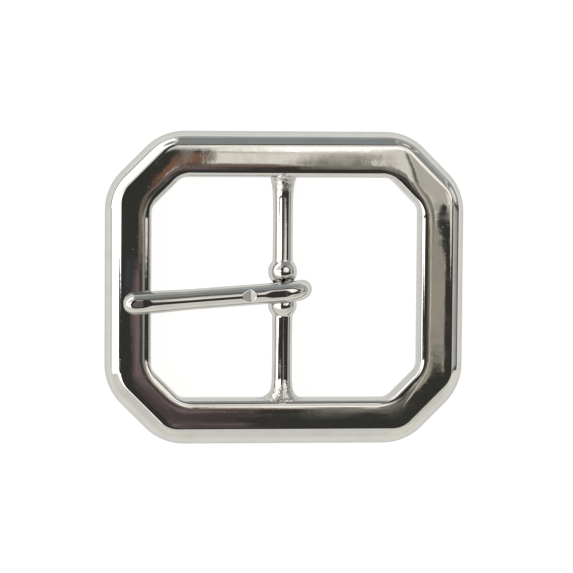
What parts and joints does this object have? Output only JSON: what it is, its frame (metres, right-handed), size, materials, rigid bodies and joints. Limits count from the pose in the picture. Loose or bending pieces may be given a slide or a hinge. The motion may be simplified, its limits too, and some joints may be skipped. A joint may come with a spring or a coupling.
{
  "type": "belt buckle",
  "caption": "Eight-sided centre-bar belt buckle in polished nickel: a bevelled frame, a turned bar with twin beads, and a loose tongue that swings over the bar.",
  "frame": {"origin": "middle of the flat back of the frame, on the plane that the back rests on", "axes": "+X along the belt, from the tongue's tip towards the loop's side; +Y along the bar; +Z out of the front face"},
  "size_m": [0.065, 0.0564, 0.0084],
  "materials": {
    "frame_nickel": "hand-polished nickel plate",
    "bar_nickel": "polished nickel plate, braze-mottled at the feet",
    "tongue_nickel": "polished nickel plate"
  },
  "bodies": {
    "frame": {"frame": "frame_nickel", "centre_bar": "bar_nickel"},
    "tongue": {"tongue": "tongue_nickel"}
  },
  "joints": [
    {"name": "tongue_swing", "type": "hinge", "parent": "frame", "child": "tongue", "pos_m": [-0.0005, 0, 0.0034], "axis": [0, 1, 0], "range_deg": [0, 163]}
  ]
}
